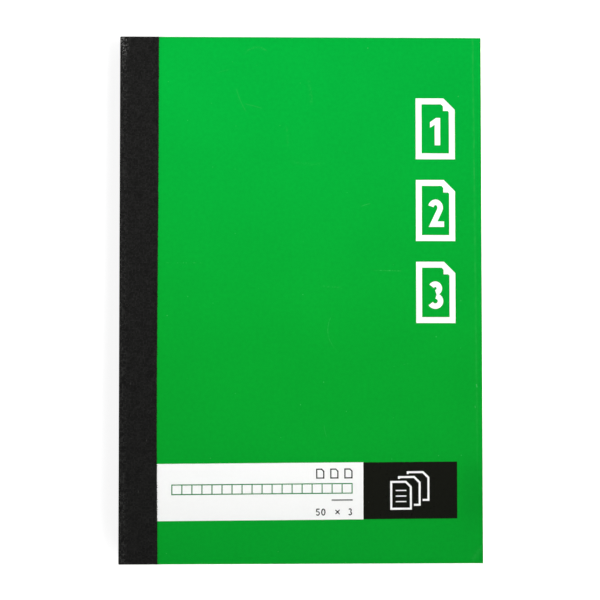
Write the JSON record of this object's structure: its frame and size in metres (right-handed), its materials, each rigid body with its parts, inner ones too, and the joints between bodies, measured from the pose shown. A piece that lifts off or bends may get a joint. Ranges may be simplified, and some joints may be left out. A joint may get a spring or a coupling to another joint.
{
  "type": "triplicate invoice book",
  "caption": "Flush-cut A5 carbon-copy form book with a varnished green card cover, cloth tape spine, perforated white and yellow leaves, fast pink leaves and loose carbon sheets.",
  "frame": {"origin": "under the middle of the closed book, on the surface that it lies on", "axes": "+X from the spine to the fore-edge, +Y from tail to head, +Z out of the front cover"},
  "size_m": [0.1446, 0.21, 0.0126],
  "materials": {
    "green_card": "varnished print",
    "back_board": "matte grey board",
    "cloth_tape": "linen-weave cloth",
    "glue": "dried binding glue",
    "stitching_wire": "galvanised",
    "white_paper": "uncoated",
    "yellow_paper": "uncoated",
    "pink_paper": "uncoated",
    "carbon_paper": "waxy ink coat"
  },
  "bodies": {
    "binding": {"spine_tape": "cloth_tape", "spine_glue": "glue", "wire_stitches": "stitching_wire", "front_cover_margin": "green_card", "back_cover_margin": "back_board", "stubs_01": "white_paper", "stubs_02_08": "white_paper", "stubs_09_15": "white_paper", "stubs_16_22": "white_paper", "stubs_23_29": "white_paper", "stubs_30_36": "white_paper", "stubs_37_43": "white_paper", "stubs_44_50": "white_paper"},
    "front_cover": {"front_cover_panel": "green_card", "front_tape_edge": "cloth_tape"},
    "back_cover": {"back_cover_panel": "back_board", "back_tape_edge": "cloth_tape"},
    "original_01": {"original_01_strip": "white_paper"},
    "original_01_sheet": {"original_01_form": "white_paper"},
    "duplicate_01": {"duplicate_01_strip": "yellow_paper"},
    "duplicate_01_sheet": {"duplicate_01_form": "yellow_paper"},
    "triplicate_01": {"triplicate_01": "pink_paper"},
    "carbon_upper": {"carbon_upper": "carbon_paper"},
    "carbon_lower": {"carbon_lower": "carbon_paper"},
    "sets_02_08": {"originals_02_08": "white_paper", "duplicates_02_08": "yellow_paper", "triplicates_02_08": "pink_paper"},
    "sets_09_15": {"originals_09_15": "white_paper", "duplicates_09_15": "yellow_paper", "triplicates_09_15": "pink_paper"},
    "sets_16_22": {"originals_16_22": "white_paper", "duplicates_16_22": "yellow_paper", "triplicates_16_22": "pink_paper"},
    "sets_23_29": {"originals_23_29": "white_paper", "duplicates_23_29": "yellow_paper", "triplicates_23_29": "pink_paper"},
    "sets_30_36": {"originals_30_36": "white_paper", "duplicates_30_36": "yellow_paper", "triplicates_30_36": "pink_paper"},
    "sets_37_43": {"originals_37_43": "white_paper", "duplicates_37_43": "yellow_paper", "triplicates_37_43": "pink_paper"},
    "sets_44_50": {"originals_44_50": "white_paper", "duplicates_44_50": "yellow_paper", "triplicates_44_50": "pink_paper"}
  },
  "joints": [
    {"name": "front_cover_hinge", "type": "hinge", "parent": "binding", "child": "front_cover", "pos_m": [-0.0613, 0, 0.01269], "axis": [0, -1, 0], "range_deg": [0, 178]},
    {"name": "back_cover_hinge", "type": "hinge", "parent": "binding", "child": "back_cover", "pos_m": [-0.0613, 0, -0.0001], "axis": [0, 1, 0], "range_deg": [0, 178]},
    {"name": "original_01_turn", "type": "hinge", "parent": "binding", "child": "original_01", "pos_m": [-0.0613, 0, 0.01269], "axis": [0, -1, 0], "range_deg": [0, 168]},
    {"name": "duplicate_01_turn", "type": "hinge", "parent": "binding", "child": "duplicate_01", "pos_m": [-0.0613, 0, 0.01269], "axis": [0, -1, 0], "range_deg": [0, 158]},
    {"name": "triplicate_01_turn", "type": "hinge", "parent": "binding", "child": "triplicate_01", "pos_m": [-0.0613, 0, 0.01269], "axis": [0, -1, 0], "range_deg": [0, 148]},
    {"name": "sets_02_08_turn", "type": "hinge", "parent": "binding", "child": "sets_02_08", "pos_m": [-0.0613, 0, 0.01269], "axis": [0, -1, 0], "range_deg": [0, 130]},
    {"name": "sets_09_15_turn", "type": "hinge", "parent": "binding", "child": "sets_09_15", "pos_m": [-0.0613, 0, 0.01269], "axis": [0, -1, 0], "range_deg": [0, 110]},
    {"name": "sets_16_22_turn", "type": "hinge", "parent": "binding", "child": "sets_16_22", "pos_m": [-0.0613, 0, 0.01269], "axis": [0, -1, 0], "range_deg": [0, 90]},
    {"name": "sets_23_29_turn", "type": "hinge", "parent": "binding", "child": "sets_23_29", "pos_m": [-0.0613, 0, 0.01269], "axis": [0, -1, 0], "range_deg": [0, 70]},
    {"name": "sets_30_36_turn", "type": "hinge", "parent": "binding", "child": "sets_30_36", "pos_m": [-0.0613, 0, 0.01269], "axis": [0, -1, 0], "range_deg": [0, 50]},
    {"name": "sets_37_43_turn", "type": "hinge", "parent": "binding", "child": "sets_37_43", "pos_m": [-0.0613, 0, 0.01269], "axis": [0, -1, 0], "range_deg": [0, 30]},
    {"name": "sets_44_50_turn", "type": "hinge", "parent": "binding", "child": "sets_44_50", "pos_m": [-0.0613, 0, 0.01269], "axis": [0, -1, 0], "range_deg": [0, 10]},
    {"name": "original_01_tear_off", "type": "slide", "parent": "original_01", "child": "original_01_sheet", "axis": [1, 0, 0], "range_m": [0, 0.13]},
    {"name": "duplicate_01_tear_off", "type": "slide", "parent": "duplicate_01", "child": "duplicate_01_sheet", "axis": [1, 0, 0], "range_m": [0, 0.13]},
    {"name": "carbon_upper_pull", "type": "slide", "parent": "duplicate_01", "child": "carbon_upper", "axis": [1, 0, 0], "range_m": [0, 0.125]},
    {"name": "carbon_lower_pull", "type": "slide", "parent": "triplicate_01", "child": "carbon_lower", "axis": [1, 0, 0], "range_m": [0, 0.125]}
  ],
  "couplings": [
    {"joint": "original_01_turn", "follows": "front_cover_hinge", "ratio": 0.94382},
    {"joint": "duplicate_01_turn", "follows": "front_cover_hinge", "ratio": 0.88764},
    {"joint": "triplicate_01_turn", "follows": "front_cover_hinge", "ratio": 0.83146},
    {"joint": "sets_02_08_turn", "follows": "front_cover_hinge", "ratio": 0.73034},
    {"joint": "sets_09_15_turn", "follows": "front_cover_hinge", "ratio": 0.61798},
    {"joint": "sets_16_22_turn", "follows": "front_cover_hinge", "ratio": 0.50562},
    {"joint": "sets_23_29_turn", "follows": "front_cover_hinge", "ratio": 0.39326},
    {"joint": "sets_30_36_turn", "follows": "front_cover_hinge", "ratio": 0.2809},
    {"joint": "sets_37_43_turn", "follows": "front_cover_hinge", "ratio": 0.16854},
    {"joint": "sets_44_50_turn", "follows": "front_cover_hinge", "ratio": 0.05618}
  ]
}
